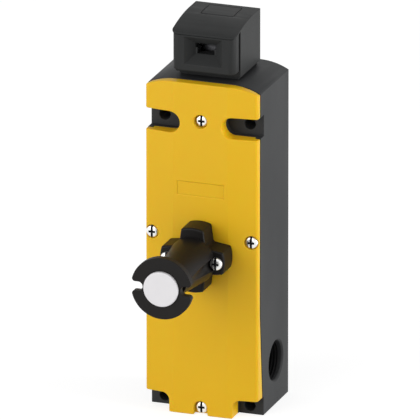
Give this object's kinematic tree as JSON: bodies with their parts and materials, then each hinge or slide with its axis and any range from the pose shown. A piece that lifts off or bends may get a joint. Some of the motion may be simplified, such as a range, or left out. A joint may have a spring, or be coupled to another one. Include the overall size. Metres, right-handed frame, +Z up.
{
  "type": "tongue interlock switch",
  "caption": "Guard interlock switch with a tongue entry head, a solenoid lock, cable entries and a push-in escape release on its lid.",
  "frame": {"origin": "centre of the fixing hole pattern on the mounting face", "axes": "+Z up along the case to the actuating head, +Y into the mounting surface, so the lid faces -Y"},
  "size_m": [0.054, 0.097, 0.185],
  "materials": {
    "case_plastic": "satin moulded",
    "lid_plastic": "satin moulded",
    "head_plastic": "satin moulded",
    "knob_plastic": "satin moulded",
    "cap_plastic": "satin",
    "contact_plastic": "moulded",
    "white_plastic": "moulded",
    "seal_rubber": "matte",
    "screw_steel": "zinc plated",
    "cam_steel": "ground",
    "spring_steel": "drawn",
    "yoke_steel": "zinc plated",
    "contact_metal": "stamped",
    "copper": "enamelled winding"
  },
  "bodies": {
    "case": {"housing": "case_plastic", "cover": "lid_plastic", "cover_gasket": "seal_rubber", "cover_screws": "screw_steel", "head_housing": "head_plastic", "head_front": "head_plastic", "head_plate": "head_plastic", "head_screws": "screw_steel", "top_slot_plug": "head_plastic", "cam_axle": "cam_steel", "tappet_guide": "white_plastic", "tappet_spring": "spring_steel", "contact_block": "contact_plastic", "fixed_contacts": "contact_metal", "terminal_screws": "screw_steel", "lock_guide": "cam_steel", "solenoid_yoke": "yoke_steel", "solenoid_bobbin": "white_plastic", "solenoid_coil": "copper", "solenoid_core": "yoke_steel", "armature_spring": "spring_steel", "coil_terminals": "contact_plastic", "coil_terminal_screws": "screw_steel", "release_guide": "head_plastic", "release_screws": "screw_steel", "release_seal": "seal_rubber"},
    "cam": {"cam_wheel": "cam_steel"},
    "tappet_body": {"tappet": "white_plastic", "contact_carrier": "contact_plastic", "contact_bridges": "contact_metal"},
    "lock_body": {"lock_slide": "cam_steel", "lock_pin": "cam_steel"},
    "armature_body": {"armature": "yoke_steel", "armature_link": "cam_steel"},
    "escape_knob": {"release_knob": "knob_plastic", "knob_cap": "cap_plastic", "release_stop": "spring_steel"}
  },
  "joints": [
    {"name": "cam_turn", "type": "hinge", "parent": "case", "child": "cam", "pos_m": [0, -0.02, 0.0979], "axis": [-1, 0, 0], "range_deg": [0, 60]},
    {"name": "tappet_rise", "type": "slide", "parent": "case", "child": "tappet_body", "axis": [0, 0, 1], "range_m": [0, 0.0035], "deforming": ["tappet_spring"]},
    {"name": "lock_shift", "type": "slide", "parent": "case", "child": "lock_body", "axis": [1, 0, 0], "range_m": [0, 0.008]},
    {"name": "armature_stroke", "type": "slide", "parent": "case", "child": "armature_body", "axis": [0, 0, 1], "range_m": [0, 0.005], "deforming": ["armature_spring"]},
    {"name": "escape_press", "type": "slide", "parent": "case", "child": "escape_knob", "axis": [0, 1, 0], "range_m": [0, 0.008]}
  ],
  "couplings": [
    {"joint": "cam_turn", "follows": "tappet_rise", "rad_per_m": 299.2},
    {"joint": "lock_shift", "follows": "tappet_rise", "ratio": 2.2857},
    {"joint": "armature_stroke", "follows": "tappet_rise", "ratio": 1.4286}
  ]
}
